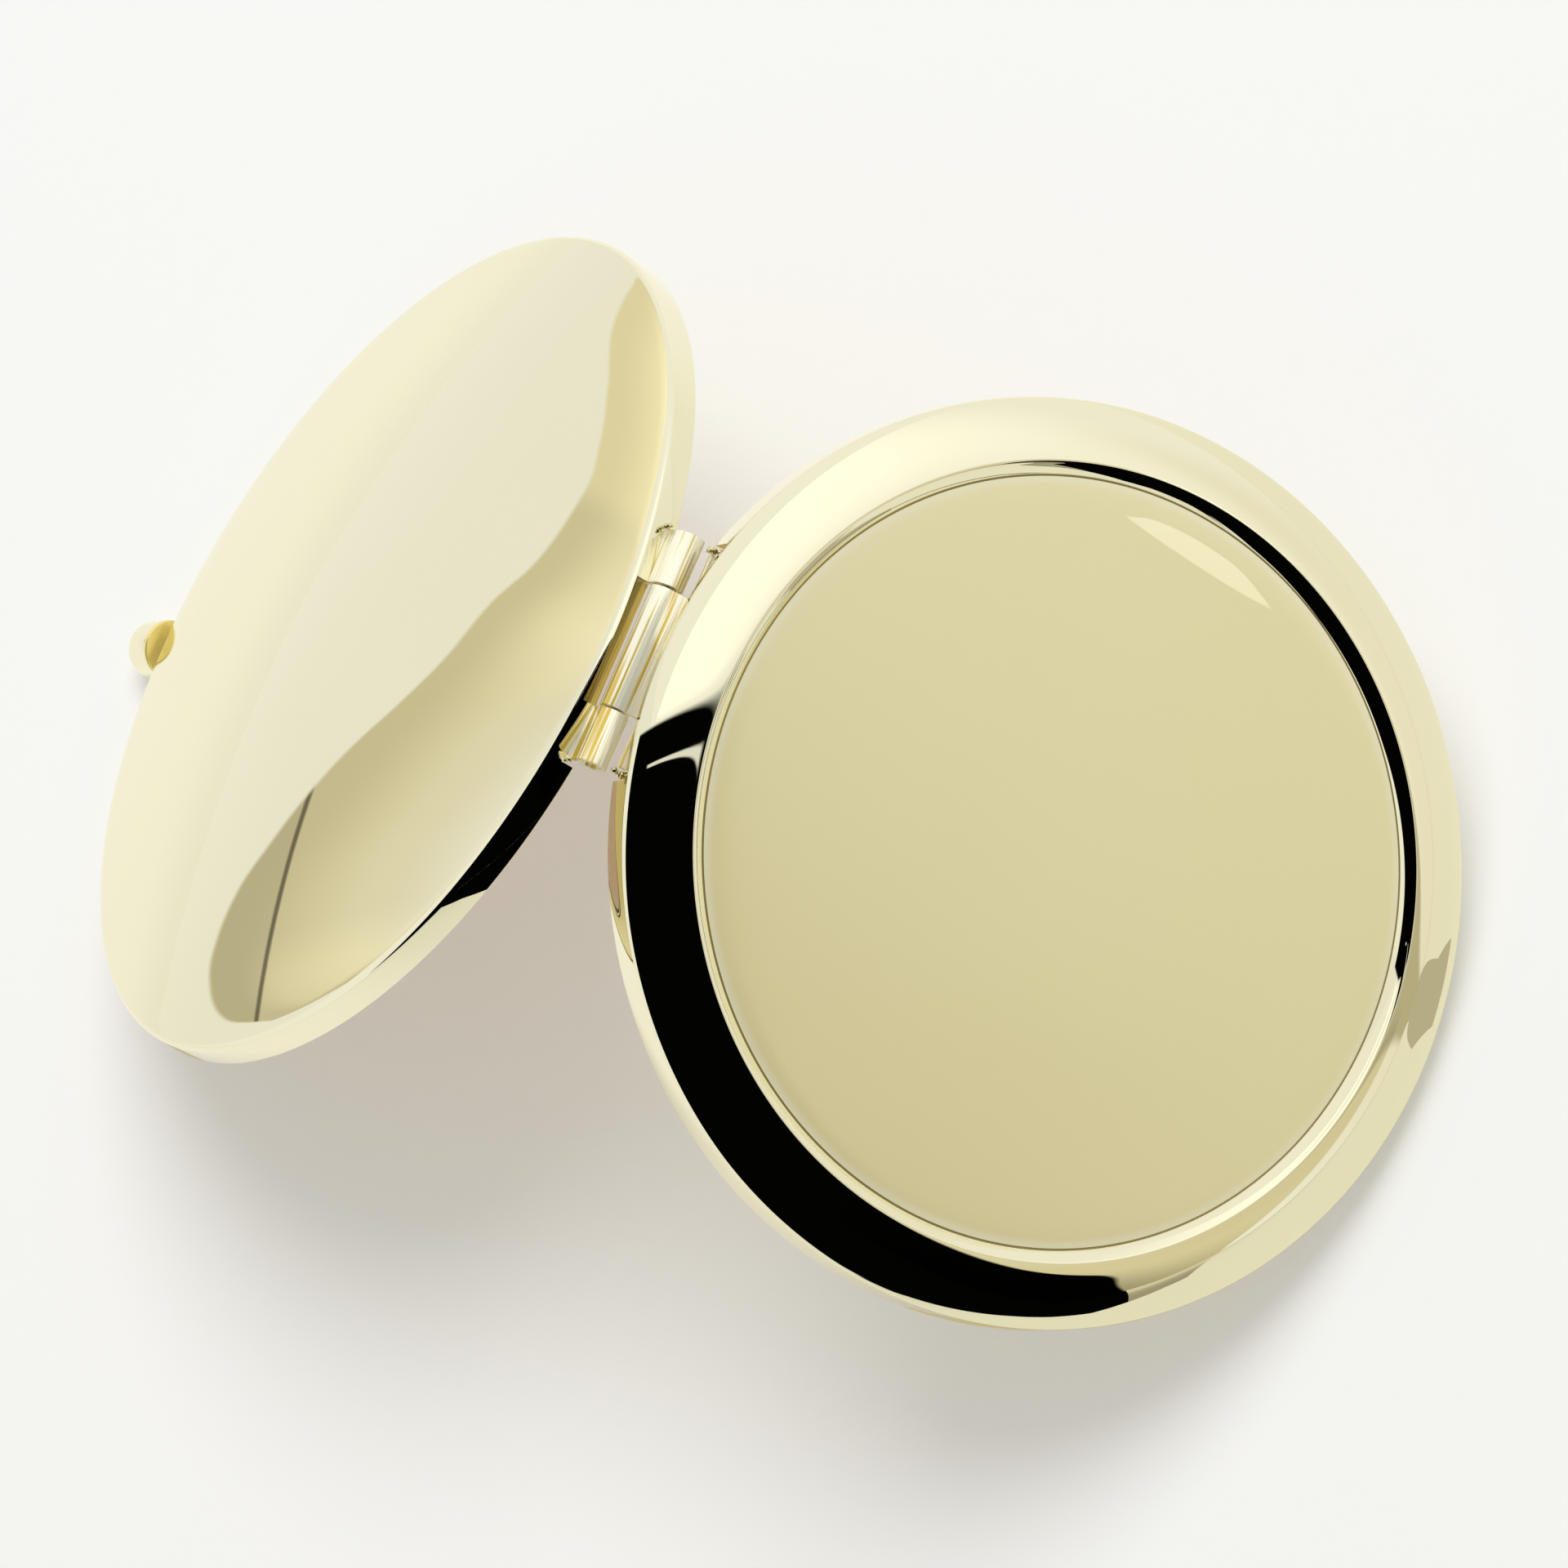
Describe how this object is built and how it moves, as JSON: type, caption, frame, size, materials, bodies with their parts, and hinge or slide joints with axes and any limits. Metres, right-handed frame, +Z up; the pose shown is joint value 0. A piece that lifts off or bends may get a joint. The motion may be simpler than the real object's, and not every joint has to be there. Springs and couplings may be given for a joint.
{
  "type": "powder compact",
  "caption": "Round hinged metal powder compact with a mirror in the lid, a pan of pressed powder in the base and a spring push button latch.",
  "frame": {"origin": "centre of the standing compact's footprint on the table, at table level", "axes": "+X from the base half's foot towards the lid half's foot, +Y along the hinge axis, +Z up; the compact stands open like a tent with the hinge on top"},
  "size_m": [0.1134, 0.07, 0.0503],
  "materials": {
    "polished_gold": "mirror-polished pale champagne gold plating",
    "satin_gold": "satin pale gold plating",
    "steel": "plain plated steel",
    "pan_tin": "bright tinned steel pan",
    "mirror_glass": "silvered glass",
    "foam_pad": "white double-sided sticky pad",
    "face_powder": "matte pressed face powder, warm beige"
  },
  "bodies": {
    "base": {"base_shell": "polished_gold", "base_tray": "satin_gold", "pan_adhesive": "foam_pad", "powder_pan": "pan_tin", "pressed_powder": "face_powder", "base_hinge_leaf": "polished_gold", "hinge_pin": "steel", "latch_guide": "steel", "guide_rivet_1": "steel", "guide_rivet_2": "steel", "latch_spring": "steel"},
    "lid": {"lid_shell": "polished_gold", "lid_hinge_leaf": "polished_gold", "mirror_pad": "foam_pad", "mirror_glass": "mirror_glass", "mirror_ring": "satin_gold", "lid_catch": "steel"},
    "button": {"push_button": "polished_gold", "latch_slider": "steel", "button_rivet": "steel"}
  },
  "joints": [
    {"name": "lid_hinge", "type": "hinge", "parent": "base", "child": "lid", "pos_m": [0.00308, 0, 0.04839], "axis": [0, -1, 0], "range_deg": [-97, 83]},
    {"name": "button_press", "type": "slide", "parent": "base", "child": "button", "axis": [0.77, 0, 0.638], "range_m": [0, 0.0008], "stiffness_N_per_m": 1200, "springref_m": -0.00125, "deforming": ["latch_spring"]}
  ]
}
